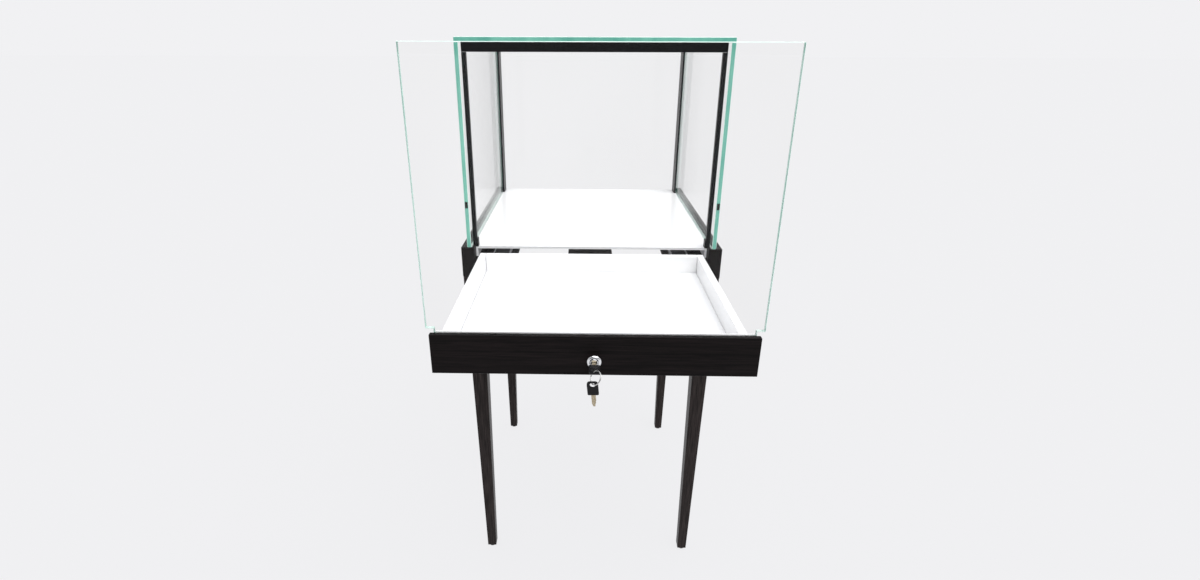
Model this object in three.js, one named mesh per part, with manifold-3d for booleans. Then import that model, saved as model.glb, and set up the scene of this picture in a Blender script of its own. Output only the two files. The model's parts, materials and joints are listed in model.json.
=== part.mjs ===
// Glass display showcase: a glazed cube on a four-legged wooden base. The front pane stands in the
// front of a shallow drawer, so pulling the drawer out opens the cube. It is shown with the drawer out.
// Millimetres, +Z up, +X to the right, +Y to the rear. Inside the group, y = 0 is the front of the base.
import * as THREE from "three";
import { mergeVertices } from "three/addons/utils/BufferGeometryUtils.js";
import Module from "manifold-3d";

const wasm = await Module();
wasm.setup();

// ---- driving dimensions ------------------------------------------------------------------------
const WIDTH = 500;              // base, outside, along X
const DEPTH = 500;              // base and cube, along Y
const HEIGHT = 1150;            // floor to the top of the cube
const BASE_TOP = 774;           // top of the wooden base
const BASE_HEIGHT = 60;
const PANEL = 25;               // thickness of the base panels
const GAP = 0.3;                // running gap between pieces that touch
const OVER = 1;                 // how far a cutting box runs past the face it cuts

const GLASS = 8;                // cube glass
const PANE_GLASS = 6;           // front pane
const GLASS_INSET = 12;         // base side face to side glass face
const GLASS_SEAT = 8;           // how deep the cube glass stands in the base
const GROOVE_STOP = 3;          // wood left in front of the side glass, which is notched around it
const GLASS_ARRIS = 0.7;        // ground edge of every pane

const PULL = 350;               // drawer travel
const LEG_TOP = 36;
const LEG_FOOT = 20;
const LEG_INSET = 0.5;          // base face to leg face at the top
const LEG_LEAN = 2.5;           // the leg's centre line leans inwards by this much
const GLIDE_HEIGHT = 4;

const BOARD = 4;                // boards across the bottom of the base
const DECK_BOARD = 3;
const DECK_SHEET = 1.5;
const DECK_TOP = BASE_TOP - 3.2;
const DECK_FRONT = 18.6;        // the deck and the boards start right behind the shut drawer front
const RAIL_REAR = 68;           // rear edge of the cross rail under the deck's front
const SLIDE_BOARD_INNER = 155;  // inner edges of the boards that carry the slides
const CENTRE_BOARD_HALF = 47;

const FRONT_WIDTH = 446;        // drawer front
const FRONT_THICK = 18;
const REBATE_FRONT = 8;         // wood left in front of the pane
const REBATE_DEPTH = 22;        // how far the pane goes down into the drawer front
const BOX_WIDTH = 426;          // drawer box, outside
const BOX_WALL = 12;
const BOX_RIM = 764;            // top of the drawer box
const BOX_BOTTOM = 728.5;
const BOX_FLOOR = 3;            // thickness of the sheet between the drawer's walls
const BOX_REAR = 348;           // rear face of the drawer box when shut

const PANE_WIDTH = 458;
const PANE_TONGUE = 436;        // the narrower foot of the pane, in the drawer front
const PANE_TOP = 1141;
const PANE_SHOULDER = BASE_TOP + 5;

const SLIDE_LENGTH = 350;
const SLIDE_WIDTH = 35;
const SLIDE_HEIGHT = 9.6;
const SLIDE_X = 187;            // centre of each slide
const SLIDE_FRONT = 19;
const SLIDE_STEEL = 1.2;

const LOCK_Z = 735;
const KEY_STAND_OFF = 9;        // drawer front to the head of the key in the lock
const KEY_HEAD_LENGTH = 20;
const KEY_HEAD_WIDTH = 15;
const KEY_HEAD_THICK = 2.6;
const KEY_HOLE = 3.7;           // radius of the hole in a key head
const KEY_HOLE_EDGE = 5;        // hole centre to the end of the head
const RING_RADIUS = 9.4;        // split ring, to the middle of its wire
const RING_WIRE = 0.8;
// Where the ring's centre hangs, seen from the middle of the hole it passes through, and which way the
// ring faces. With these it stays clear of the key head all the way through the lock's quarter turn.
const RING_CENTRE = new THREE.Vector3(1.4, -7.33, -4.5);
const RING_FACING = new THREE.Vector3(-0.726, -0.456, 0.514).normalize();
const SPARE_DROP = 1.4;         // the ring's lowest point to the centre of the spare key's hole
const SPARE_LEAN = -0.1;        // the spare key hangs a little askew: turned about Y, then about Z
const SPARE_TURN = -0.12;

// ---- derived places ----------------------------------------------------------------------------
const BASE_BOTTOM = BASE_TOP - BASE_HEIGHT;
const INNER_HALF = WIDTH / 2 - PANEL;
const GLASS_OUT = WIDTH / 2 - GLASS_INSET;
const GLASS_IN = GLASS_OUT - GLASS;
const GLASS_FOOT = BASE_TOP - GLASS_SEAT;
const TOP_UNDER = HEIGHT - GLASS;
const SIDE_TOP = TOP_UNDER - GAP;
const REAR_GLASS_FRONT = DEPTH - GAP - GLASS;
const DECK_UNDER = DECK_TOP - DECK_SHEET - GAP - DECK_BOARD;
const BOARD_TOP = BASE_BOTTOM + GAP + BOARD;
const SLIDE_Z = BOARD_TOP + GAP;
const PANE_FRONT = REBATE_FRONT + GAP;
const PANE_FOOT = BASE_TOP - REBATE_DEPTH + GAP;
const KEY_HEAD_FRONT = -KEY_STAND_OFF - KEY_HEAD_LENGTH;
const HOLE_Y = KEY_HEAD_FRONT + KEY_HOLE_EDGE;

// ---- finishes ----------------------------------------------------------------------------------
const finish = (color, roughness, metalness = 0) => () =>
  new THREE.MeshStandardMaterial({ color, roughness, metalness });
const glass = () => new THREE.MeshStandardMaterial({
  color: 0xcfeee2, roughness: 0.05, transparent: true, opacity: 0.35 });
const wood = finish(0x241c1b, 0.45);
const white = finish(0xf6f6f8, 0.25);
const board = finish(0x1a1716, 0.7);
const trim = finish(0x15161a, 0.35);
const rubber = finish(0x101214, 0.8);
const nylon = finish(0x2a2a2a, 0.5);
const steel = finish(0xb9bcc0, 0.35, 0.9);
const chrome = finish(0xd8dadd, 0.12, 1);
const brass = finish(0xb3a178, 0.3, 0.9);
const plastic = finish(0x121316, 0.4);

// ---- helpers -----------------------------------------------------------------------------------
const showcase = new THREE.Group();
showcase.name = "glass_display_showcase";
const cabinet = new THREE.Group();
const drawer = new THREE.Group();
drawer.position.y = -PULL;
cabinet.add(drawer);
showcase.add(cabinet);

function add(group, name, geometry, material, x = 0, y = 0, z = 0) {
  const mesh = new THREE.Mesh(geometry, material());
  mesh.name = name;
  mesh.position.set(x, y, z);
  group.add(mesh);
  return mesh;
}

// A box between two corners, with its place in the geometry.
function span(x0, x1, y0, y1, z0, z1) {
  const geometry = new THREE.BoxGeometry(x1 - x0, y1 - y0, z1 - z0);
  return geometry.translate((x0 + x1) / 2, (y0 + y1) / 2, (z0 + z1) / 2);
}

// A round bar along Y, between two depths.
function rod(radius, y0, y1, segments = 40) {
  return new THREE.CylinderGeometry(radius, radius, y1 - y0, segments).translate(0, (y0 + y1) / 2, 0);
}

function toSolid(geometry) {
  const bare = geometry.clone();
  bare.deleteAttribute("normal");
  bare.deleteAttribute("uv");
  const merged = mergeVertices(bare, 1e-4);
  return new wasm.Manifold(new wasm.Mesh({
    numProp: 3,
    vertProperties: new Float32Array(merged.attributes.position.array),
    triVerts: new Uint32Array(merged.index.array),
  }));
}

function toGeometry(solid) {
  const mesh = solid.getMesh();
  const geometry = new THREE.BufferGeometry();
  geometry.setAttribute("position", new THREE.BufferAttribute(new Float32Array(mesh.vertProperties), 3));
  geometry.setIndex(new THREE.BufferAttribute(new Uint32Array(mesh.triVerts), 1));
  geometry.computeVertexNormals();
  return geometry;
}

function cut(geometry, ...tools) {
  let solid = toSolid(geometry);
  for (const tool of tools) solid = solid.subtract(toSolid(tool));
  return toGeometry(solid);
}

function join(geometry, ...others) {
  let solid = toSolid(geometry);
  for (const other of others) solid = solid.add(toSolid(other));
  return toGeometry(solid);
}

// A pane with ground edges: its outline drawn in two axes and extruded through its thickness.
function pane(outline, thickness) {
  const shape = new THREE.Shape(outline.map(([u, v]) => new THREE.Vector2(u, v)));
  return new THREE.ExtrudeGeometry(shape, {
    depth: thickness - 2 * GLASS_ARRIS, bevelEnabled: true, bevelSegments: 1,
    bevelThickness: GLASS_ARRIS, bevelSize: GLASS_ARRIS, bevelOffset: -GLASS_ARRIS,
  }).translate(0, 0, GLASS_ARRIS);
}

const rectangle = (u0, u1, v0, v1) => [[u0, v0], [u1, v0], [u1, v1], [u0, v1]];

// Extrusion along Z turned to run along +X or +Y, with the second axis of the outline up.
const standFacingX = (geometry) => geometry.rotateX(Math.PI / 2).rotateZ(Math.PI / 2);
const standFacingY = (geometry) => geometry.rotateX(Math.PI / 2);

// ---- glass cube --------------------------------------------------------------------------------
add(cabinet, "top_glass", pane(rectangle(-GLASS_OUT, GLASS_OUT, 0, DEPTH - GAP), GLASS),
  glass, 0, 0, TOP_UNDER);

for (const [side, x] of [["left", -GLASS_OUT], ["right", GLASS_IN]]) {
  const stop = GROOVE_STOP + GAP;
  const outline = [[0, BASE_TOP + GAP], [stop, BASE_TOP + GAP], [stop, GLASS_FOOT + GAP],
    [DEPTH - GAP, GLASS_FOOT + GAP], [DEPTH - GAP, SIDE_TOP], [0, SIDE_TOP]];
  add(cabinet, `${side}_side_glass`, standFacingX(pane(outline, GLASS)), glass, x);
}
add(cabinet, "rear_glass",
  standFacingY(pane(rectangle(GAP - GLASS_IN, GLASS_IN - GAP, GLASS_FOOT + GAP, SIDE_TOP), GLASS)),
  glass, 0, REAR_GLASS_FRONT + GLASS);

// ---- base --------------------------------------------------------------------------------------
const legX = WIDTH / 2 - LEG_INSET - LEG_TOP / 2;
const legY = LEG_INSET + LEG_TOP / 2;
const BOLT_RADIUS = 4;
const BOLT_REACH = 28;
const upright = (geometry) => geometry.rotateX(Math.PI / 2);
const boltBar = (radius, reach) => upright(rod(radius, -reach, reach, 24));
const legBore = (x, y) => boltBar(BOLT_RADIUS + GAP, BOLT_REACH + 2).translate(x, y, BASE_BOTTOM);
const LEDGE = DECK_TOP - DECK_SHEET - GAP;    // rebate in the panels that carries the deck sheet

for (const [side, sign] of [["left", -1], ["right", 1]]) {
  const outer = sign * WIDTH / 2;
  const inner = sign * INNER_HALF;
  const groove = [sign * (GLASS_IN - GAP), sign * (GLASS_OUT + GAP)].sort((a, b) => a - b);
  const ledge = [sign * (INNER_HALF - OVER), sign * GLASS_OUT].sort((a, b) => a - b);
  add(cabinet, `${side}_base_panel`, cut(
    span(Math.min(outer, inner), Math.max(outer, inner), 0, DEPTH, BASE_BOTTOM, BASE_TOP),
    span(groove[0], groove[1], GROOVE_STOP, DEPTH + OVER, GLASS_FOOT, BASE_TOP + OVER),
    span(ledge[0], ledge[1], DECK_FRONT - GAP, DEPTH + OVER, LEDGE, BASE_TOP + OVER),
    span(ledge[0], ledge[1], REAR_GLASS_FRONT - GAP, DEPTH + OVER, GLASS_FOOT, BASE_TOP + OVER),
    legBore(sign * legX, legY),
    legBore(sign * legX, DEPTH - legY)), wood);
}
add(cabinet, "rear_base_panel", cut(
  span(GAP - INNER_HALF, INNER_HALF - GAP, DEPTH - PANEL, DEPTH, BASE_BOTTOM, BASE_TOP),
  span(-WIDTH / 2, WIDTH / 2, REAR_GLASS_FRONT - GAP, DEPTH + OVER, GLASS_FOOT, BASE_TOP + OVER),
  span(-WIDTH / 2, WIDTH / 2, DEPTH - PANEL - OVER, REAR_GLASS_FRONT, LEDGE, BASE_TOP + OVER)),
  wood);

// Boards across the bottom of the base: a rail behind the drawer front, then three boards to the rear.
const STRIKE = { left: -16, right: 28, front: 19.4, rear: 28, thick: 1.5 };
const CAM_SLOT = { left: -8, right: 20, front: 20.9, rear: 24.1 };
const camSlot = span(CAM_SLOT.left, CAM_SLOT.right, CAM_SLOT.front, CAM_SLOT.rear,
  BASE_BOTTOM - OVER, BOARD_TOP + GAP + STRIKE.thick + OVER);
const boardX = INNER_HALF - GAP;
const boardRear = DEPTH - PANEL - GAP;
add(cabinet, "front_cross_rail", cut(
  span(-boardX, boardX, DECK_FRONT, RAIL_REAR, BASE_BOTTOM + GAP, BOARD_TOP), camSlot), board);
const LENGTHWISE_BOARDS = [
  ["left_slide_board", -boardX, -SLIDE_BOARD_INNER],
  ["centre_board", -CENTRE_BOARD_HALF, CENTRE_BOARD_HALF],
  ["right_slide_board", SLIDE_BOARD_INNER, boardX],
];
for (const [name, x0, x1] of LENGTHWISE_BOARDS) {
  add(cabinet, name, span(x0, x1, RAIL_REAR + GAP, boardRear, BASE_BOTTOM + GAP, BOARD_TOP), board);
}
const strikeUnder = BOARD_TOP + GAP;
add(cabinet, "strike_plate", cut(
  span(STRIKE.left, STRIKE.right, STRIKE.front, STRIKE.rear, strikeUnder, strikeUnder + STRIKE.thick),
  camSlot), steel);

// ---- deck, with its corners notched for the black edge strips ------------------------------------
const STRIP = 8;
const STRIP_FRONT = 19;
const HEADER_HEIGHT = 16;
const FOOT_BLOCK = { width: 10, depth: 12, height: 15 };
const REAR_STRIP = { thick: 4, width: 38 };
const stripOut = GLASS_IN - GAP;
const deckHalf = GLASS_IN - 2 * GAP;
const deckSheetRear = REAR_GLASS_FRONT - 2 * GAP;
const stripFoot = LEDGE + GAP;
add(cabinet, "deck_board",
  span(-boardX, boardX, DECK_FRONT, boardRear, DECK_UNDER, DECK_UNDER + DECK_BOARD), white);
const notches = [-1, 1].flatMap((sign) => {
  const front = [sign * (stripOut - FOOT_BLOCK.width - GAP), sign * GLASS_OUT].sort((a, b) => a - b);
  const rear = [sign * (stripOut - REAR_STRIP.thick - GAP), sign * GLASS_OUT].sort((a, b) => a - b);
  return [
    span(front[0], front[1], 0, STRIP_FRONT + FOOT_BLOCK.depth + GAP, LEDGE, BASE_TOP),
    span(rear[0], rear[1], REAR_GLASS_FRONT - REAR_STRIP.width - 2 * GAP, DEPTH, LEDGE, BASE_TOP),
  ];
});
add(cabinet, "deck_sheet", cut(
  span(-deckHalf, deckHalf, DECK_FRONT, deckSheetRear, DECK_TOP - DECK_SHEET, DECK_TOP), ...notches), white);
const CLEAT_WIDTH = 4;
const CLEAT_HEIGHT = 16;
for (const [side, sign] of [["left", -1], ["right", 1]]) {
  const x = sign * (boardX - CLEAT_WIDTH / 2);
  const cleat = new THREE.BoxGeometry(CLEAT_WIDTH, boardRear - DECK_FRONT, CLEAT_HEIGHT);
  add(cabinet, `${side}_deck_cleat`, cleat, white,
    x, (boardRear + DECK_FRONT) / 2, DECK_UNDER - GAP - CLEAT_HEIGHT / 2);
}

// ---- black edge strips inside the glass --------------------------------------------------------
const headerUnder = SIDE_TOP - HEADER_HEIGHT;
add(cabinet, "front_header_strip",
  span(-stripOut, stripOut, STRIP_FRONT, STRIP_FRONT + STRIP, headerUnder, SIDE_TOP), trim);
for (const [side, sign] of [["left", -1], ["right", 1]]) {
  const reach = (depth) => [sign * stripOut, sign * (stripOut - depth)].sort((a, b) => a - b);
  const post = reach(STRIP);
  const foot = reach(FOOT_BLOCK.width);
  const strip = reach(REAR_STRIP.thick);
  add(cabinet, `front_${side}_post`, join(
    span(post[0], post[1], STRIP_FRONT, STRIP_FRONT + STRIP, stripFoot, headerUnder - GAP),
    span(foot[0], foot[1], STRIP_FRONT, STRIP_FRONT + FOOT_BLOCK.depth, stripFoot,
      DECK_TOP + FOOT_BLOCK.height)), trim);
  add(cabinet, `rear_${side}_strip`, span(strip[0], strip[1], REAR_GLASS_FRONT - GAP - REAR_STRIP.width,
    REAR_GLASS_FRONT - GAP, stripFoot, SIDE_TOP), trim);
}

// Bumpers on the front edges of the side glass, against the shopper's knocks.
const BUMPER = { width: 5, height: 12, thick: 1.2, z: 858 };
for (const [side, sign] of [["left", -1], ["right", 1]]) {
  const bumper = new THREE.BoxGeometry(BUMPER.width, BUMPER.thick, BUMPER.height);
  add(cabinet, `${side}_glass_bumper`, bumper, rubber,
    sign * (GLASS_IN + GLASS / 2), -GAP - BUMPER.thick / 2, BUMPER.z);
}

// ---- legs --------------------------------------------------------------------------------------
const legHeight = BASE_BOTTOM - GAP - GLIDE_HEIGHT - GAP;

// A square post that tapers to its foot and leans towards the middle of the base.
function taperedLeg(signX, signY) {
  const geometry = new THREE.BoxGeometry(LEG_TOP, LEG_TOP, legHeight);
  const position = geometry.attributes.position;
  for (let i = 0; i < position.count; i += 1) {
    if (position.getZ(i) > 0) continue;
    position.setX(i, position.getX(i) * LEG_FOOT / LEG_TOP - signX * LEG_LEAN);
    position.setY(i, position.getY(i) * LEG_FOOT / LEG_TOP - signY * LEG_LEAN);
  }
  return geometry;
}

// A nylon glide: a low disc with a rounded rim, turned about Z.
const GLIDE = { flat: 7, round: 1.5 };
function glide() {
  const rim = new THREE.Path();
  rim.moveTo(0, 0).lineTo(GLIDE.flat, 0)
    .absarc(GLIDE.flat, GLIDE.round, GLIDE.round, -Math.PI / 2, 0, false)
    .lineTo(GLIDE.flat + GLIDE.round, GLIDE_HEIGHT).lineTo(0, GLIDE_HEIGHT);
  return upright(new THREE.LatheGeometry(rim.getPoints(4), 24));
}

for (const [end, signY] of [["front", -1], ["rear", 1]]) {
  for (const [side, signX] of [["left", -1], ["right", 1]]) {
    const x = signX * legX;
    const y = signY < 0 ? legY : DEPTH - legY;
    const legMid = GLIDE_HEIGHT + GAP + legHeight / 2;
    const bore = legBore(0, 0).translate(0, 0, -legMid);
    add(cabinet, `${end}_${side}_leg`, cut(taperedLeg(signX, signY), bore), wood, x, y, legMid);
    add(cabinet, `${end}_${side}_leg_bolt`,
      boltBar(BOLT_RADIUS, BOLT_REACH), steel, x, y, BASE_BOTTOM);
    add(cabinet, `${end}_${side}_glide`, glide(), nylon, x - signX * LEG_LEAN, y - signY * LEG_LEAN, 0);
  }
}

// ---- drawer, drawn shut in its own group and pulled out as a whole ------------------------------
const NUT_FRONT = FRONT_THICK + GAP;
const BARREL = { radius: 8, rear: 21 };
const frontUnder = BASE_BOTTOM + 2 * GAP;

const frontBoard = new THREE.Shape();
const FRONT_ROUND = 1.2;
frontBoard.moveTo(FRONT_THICK, frontUnder).lineTo(FRONT_THICK, BASE_TOP - REBATE_DEPTH)
  .lineTo(REBATE_FRONT, BASE_TOP - REBATE_DEPTH).lineTo(REBATE_FRONT, BASE_TOP).lineTo(FRONT_ROUND, BASE_TOP)
  .absarc(FRONT_ROUND, BASE_TOP - FRONT_ROUND, FRONT_ROUND, Math.PI / 2, Math.PI, false)
  .lineTo(0, frontUnder + FRONT_ROUND)
  .absarc(FRONT_ROUND, frontUnder + FRONT_ROUND, FRONT_ROUND, Math.PI, 1.5 * Math.PI, false);
const frontSlab = standFacingX(new THREE.ExtrudeGeometry(frontBoard,
  { depth: FRONT_WIDTH, bevelEnabled: false, curveSegments: 4 }).translate(0, 0, -FRONT_WIDTH / 2));
add(drawer, "drawer_front", cut(frontSlab,
  rod(BARREL.radius + GAP, -OVER, FRONT_THICK + OVER).translate(0, 0, LOCK_Z)), wood);

const innerFrontRear = FRONT_THICK + GAP + BOX_WALL;
const boxHalf = BOX_WIDTH / 2;
const boxInner = boxHalf - BOX_WALL - GAP;
// The inner front is cut away around the lock's nut and cam.
const LOCK_NOTCH = { left: -14, right: 30, top: LOCK_Z + 14 };
add(drawer, "drawer_inner_front", cut(
  span(-boxHalf, boxHalf, FRONT_THICK + GAP, innerFrontRear, BOX_BOTTOM, BOX_RIM),
  span(LOCK_NOTCH.left, LOCK_NOTCH.right, FRONT_THICK, innerFrontRear + OVER,
    BOX_BOTTOM - OVER, LOCK_NOTCH.top)), white);
for (const [side, sign] of [["left", -1], ["right", 1]]) {
  const wall = [sign * boxHalf, sign * (boxHalf - BOX_WALL)].sort((a, b) => a - b);
  add(drawer, `drawer_${side}_side`,
    span(wall[0], wall[1], innerFrontRear + GAP, BOX_REAR, BOX_BOTTOM, BOX_RIM), white);
}
add(drawer, "drawer_rear",
  span(-boxInner, boxInner, BOX_REAR - BOX_WALL, BOX_REAR, BOX_BOTTOM, BOX_RIM), white);
add(drawer, "drawer_bottom", span(-boxInner, boxInner, innerFrontRear + GAP, BOX_REAR - BOX_WALL - GAP,
  BOX_BOTTOM, BOX_BOTTOM + BOX_FLOOR), white);

const tongue = PANE_TONGUE / 2;
const shoulder = PANE_WIDTH / 2;
const paneOutline = [
  [-tongue, PANE_FOOT], [tongue, PANE_FOOT], [tongue, PANE_SHOULDER], [shoulder, PANE_SHOULDER],
  [shoulder, PANE_TOP], [-shoulder, PANE_TOP], [-shoulder, PANE_SHOULDER], [-tongue, PANE_SHOULDER],
];
add(drawer, "front_glass", standFacingY(pane(paneOutline, PANE_GLASS)), glass, 0, PANE_FRONT + PANE_GLASS);
const CLAMP_REAR = FRONT_THICK - 0.2;
const CLAMP_TOP = BASE_TOP - 2;
add(drawer, "glass_clamp_strip",
  span(-tongue, tongue, PANE_FRONT + PANE_GLASS + GAP, CLAMP_REAR, PANE_FOOT, CLAMP_TOP), white);

// ---- drawer slides: three nested channels a side, lying flat under the drawer --------------------
// A channel of folded steel that opens upwards, its two edges turned in.
function channel(half, height, wall, lip) {
  const shape = new THREE.Shape();
  shape.moveTo(-half, 0).lineTo(half, 0).lineTo(half, height).lineTo(half - wall - lip, height)
    .lineTo(half - wall - lip, height - wall).lineTo(half - wall, height - wall).lineTo(half - wall, wall)
    .lineTo(-half + wall, wall).lineTo(-half + wall, height - wall).lineTo(-half + wall + lip, height - wall)
    .lineTo(-half + wall + lip, height).lineTo(-half, height).closePath();
  return new THREE.ExtrudeGeometry(shape, { depth: SLIDE_LENGTH, bevelEnabled: false })
    .rotateX(Math.PI / 2).translate(0, SLIDE_LENGTH, 0);
}

// The drawer's own member, a channel that opens downwards and carries the drawer on its back.
function drawerMember(half, height, wall, length) {
  const shape = new THREE.Shape();
  shape.moveTo(-half, 0).lineTo(-half + wall, 0).lineTo(-half + wall, height - wall)
    .lineTo(half - wall, height - wall).lineTo(half - wall, 0).lineTo(half, 0).lineTo(half, height)
    .lineTo(-half, height).closePath();
  return new THREE.ExtrudeGeometry(shape, { depth: length, bevelEnabled: false })
    .rotateX(Math.PI / 2).translate(0, length, 0);
}

const OUTER_MEMBER = { half: SLIDE_WIDTH / 2, height: SLIDE_HEIGHT - 0.6, lip: 0.9 };
const MIDDLE_MEMBER = { half: 14.9, height: 5.8, wall: 1.1, lip: 0.5, lift: 1.6 };
const DRAWER_MEMBER = { half: 12.6, length: 316, lift: 3 };
for (const [side, sign] of [["left", -1], ["right", 1]]) {
  const x = sign * SLIDE_X;
  add(cabinet, `${side}_slide_cabinet_member`,
    channel(OUTER_MEMBER.half, OUTER_MEMBER.height, SLIDE_STEEL, OUTER_MEMBER.lip), steel,
    x, SLIDE_FRONT, SLIDE_Z);
  add(cabinet, `${side}_slide_middle_member`,
    channel(MIDDLE_MEMBER.half, MIDDLE_MEMBER.height, MIDDLE_MEMBER.wall, MIDDLE_MEMBER.lip), steel,
    x, SLIDE_FRONT - PULL / 2, SLIDE_Z + MIDDLE_MEMBER.lift);
  add(drawer, `${side}_slide_drawer_member`, drawerMember(DRAWER_MEMBER.half,
    SLIDE_HEIGHT - DRAWER_MEMBER.lift, SLIDE_STEEL, DRAWER_MEMBER.length), steel,
    x, innerFrontRear + GAP, SLIDE_Z + DRAWER_MEMBER.lift);
}

// ---- cam lock and keys ---------------------------------------------------------------------------
const FLANGE = { radius: 9.85, flat: 7.4, dome: 2.2 };
const PLUG_RADIUS = 5.5;
const plugBore = PLUG_RADIUS + GAP;
const housing = new THREE.Path();
housing.moveTo(plugBore, -FLANGE.dome).lineTo(FLANGE.flat, -FLANGE.dome)
  .quadraticCurveTo(FLANGE.radius, -FLANGE.dome, FLANGE.radius, -GAP).lineTo(BARREL.radius, -GAP)
  .lineTo(BARREL.radius, BARREL.rear).lineTo(plugBore, BARREL.rear).lineTo(plugBore, -FLANGE.dome);
// A lathe turns about +Y already, and its profile's second number is how far back a point lies.
const turned = (profile, segments = 40) => new THREE.LatheGeometry(profile, segments);
add(drawer, "lock_housing", turned(housing.getPoints(6)), chrome, 0, 0, LOCK_Z);

const NUT_THICK = 2.2;
const nutShape = new THREE.Shape();
const NUT_RADIUS = 11;
for (let i = 0; i < 6; i += 1) {
  const angle = i * Math.PI / 3;
  const corner = [NUT_RADIUS * Math.cos(angle), NUT_RADIUS * Math.sin(angle)];
  if (i === 0) nutShape.moveTo(...corner);
  else nutShape.lineTo(...corner);
}
nutShape.closePath();
nutShape.holes.push(new THREE.Path().absarc(0, 0, BARREL.radius + GAP, 0, 2 * Math.PI, true));
add(drawer, "lock_nut", standFacingY(new THREE.ExtrudeGeometry(nutShape,
  { depth: NUT_THICK, bevelEnabled: false, curveSegments: 20 })), steel, 0, NUT_FRONT + NUT_THICK, LOCK_Z);

const SLOT = { half: 3.7, thick: 2.3, depth: 19 };
const PLUG_FRONT = -2.6;
const SCREW = { shank: 1.6, bite: 3, head: 4, thick: 2.2, crown: 0.8 };
const CAM = { front: 21.5, thick: 2, half: 5, reach: 19.4, corner: 1.5, hole: 2.4 };
add(drawer, "lock_plug", cut(rod(PLUG_RADIUS, PLUG_FRONT, CAM.front - GAP),
  span(-SLOT.half, SLOT.half, PLUG_FRONT - OVER, PLUG_FRONT + SLOT.depth, -SLOT.thick / 2, SLOT.thick / 2),
  rod(SCREW.shank + GAP, CAM.front - SCREW.bite - 2 * GAP, CAM.front + OVER, 24)), chrome, 0, 0, LOCK_Z);

// The cam points to +X while the lock is open.
const camShape = new THREE.Shape();
camShape.absarc(0, 0, CAM.half, Math.PI / 2, 1.5 * Math.PI, false)
  .lineTo(CAM.reach - CAM.corner, -CAM.half).lineTo(CAM.reach, -CAM.half + CAM.corner)
  .lineTo(CAM.reach, CAM.half - CAM.corner).lineTo(CAM.reach - CAM.corner, CAM.half);
camShape.holes.push(new THREE.Path().absarc(0, 0, CAM.hole, 0, 2 * Math.PI, true));
add(drawer, "lock_cam", standFacingY(new THREE.ExtrudeGeometry(camShape,
  { depth: CAM.thick, bevelEnabled: false, curveSegments: 16 })), steel, 0, CAM.front + CAM.thick, LOCK_Z);

const screw = new THREE.Path();
const camRear = CAM.front + CAM.thick + GAP;
const screwTip = CAM.front - SCREW.bite;
screw.moveTo(0, screwTip).lineTo(SCREW.shank, screwTip).lineTo(SCREW.shank, camRear)
  .lineTo(SCREW.head, camRear).lineTo(SCREW.head, camRear + SCREW.thick - SCREW.crown)
  .quadraticCurveTo(SCREW.head - SCREW.crown, camRear + SCREW.thick, 0, camRear + SCREW.thick);
add(drawer, "cam_screw", turned(screw.getPoints(4), 24), steel, 0, 0, LOCK_Z);

// A key head lies in XY with its hole towards -Y and its blade leaving towards +Y.
const HEAD_ROUND = 4;
const HEAD_NECK = { step: 1, chamfer: 1.5 };
const BLADE = { half: 3, thick: 1.5, length: 18, root: 5 };
// The blade's outline towards its tip: distance back from the tip, and distance from the middle.
const BLADE_CUTS = [[9, 3], [7.5, 2], [6, 2.6], [4, 1.8], [0, 1.2], [0, -1.2], [3.4, -3]];

function keyHead() {
  const half = KEY_HEAD_WIDTH / 2;
  const neck = half - HEAD_NECK.step;
  const shape = new THREE.Shape();
  shape.moveTo(half - HEAD_ROUND, 0)
    .absarc(half - HEAD_ROUND, HEAD_ROUND, HEAD_ROUND, -Math.PI / 2, 0, false)
    .lineTo(neck, KEY_HEAD_LENGTH - HEAD_NECK.chamfer).lineTo(neck - HEAD_NECK.chamfer, KEY_HEAD_LENGTH)
    .lineTo(HEAD_NECK.chamfer - neck, KEY_HEAD_LENGTH).lineTo(-neck, KEY_HEAD_LENGTH - HEAD_NECK.chamfer)
    .lineTo(-half, HEAD_ROUND)
    .absarc(HEAD_ROUND - half, HEAD_ROUND, HEAD_ROUND, Math.PI, 1.5 * Math.PI, false);
  shape.holes.push(new THREE.Path().absarc(0, KEY_HOLE_EDGE, KEY_HOLE, 0, 2 * Math.PI, true));
  const body = new THREE.ExtrudeGeometry(shape, {
    depth: KEY_HEAD_THICK, bevelEnabled: false, curveSegments: 12,
  }).translate(0, 0, -KEY_HEAD_THICK / 2);
  const socketHalf = BLADE.thick / 2 + GAP / 2;
  return cut(body, span(-BLADE.half - GAP, BLADE.half + GAP,
    KEY_HEAD_LENGTH - BLADE.root - GAP, KEY_HEAD_LENGTH + OVER, -socketHalf, socketHalf));
}

function keyBlade() {
  const start = KEY_HEAD_LENGTH - BLADE.root;
  const end = KEY_HEAD_LENGTH + BLADE.length;
  const shape = new THREE.Shape();
  shape.moveTo(-BLADE.half, start).lineTo(BLADE.half, start);
  for (const [back, x] of BLADE_CUTS) shape.lineTo(x, end - back);
  shape.closePath();
  return new THREE.ExtrudeGeometry(shape, { depth: BLADE.thick, bevelEnabled: false })
    .translate(0, 0, -BLADE.thick / 2);
}
add(drawer, "key_head", keyHead(), plastic, 0, KEY_HEAD_FRONT, LOCK_Z);
add(drawer, "key_blade", keyBlade(), brass, 0, KEY_HEAD_FRONT, LOCK_Z);

// The ring hangs through the hole in the key head and lies against its rim at a slant.
const ringCentre = new THREE.Vector3(0, HOLE_Y, LOCK_Z).add(RING_CENTRE);
const ring = add(drawer, "split_ring", new THREE.TorusGeometry(RING_RADIUS, RING_WIRE, 10, 48), steel,
  ringCentre.x, ringCentre.y, ringCentre.z);
ring.quaternion.setFromUnitVectors(new THREE.Vector3(0, 0, 1), RING_FACING);

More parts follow.
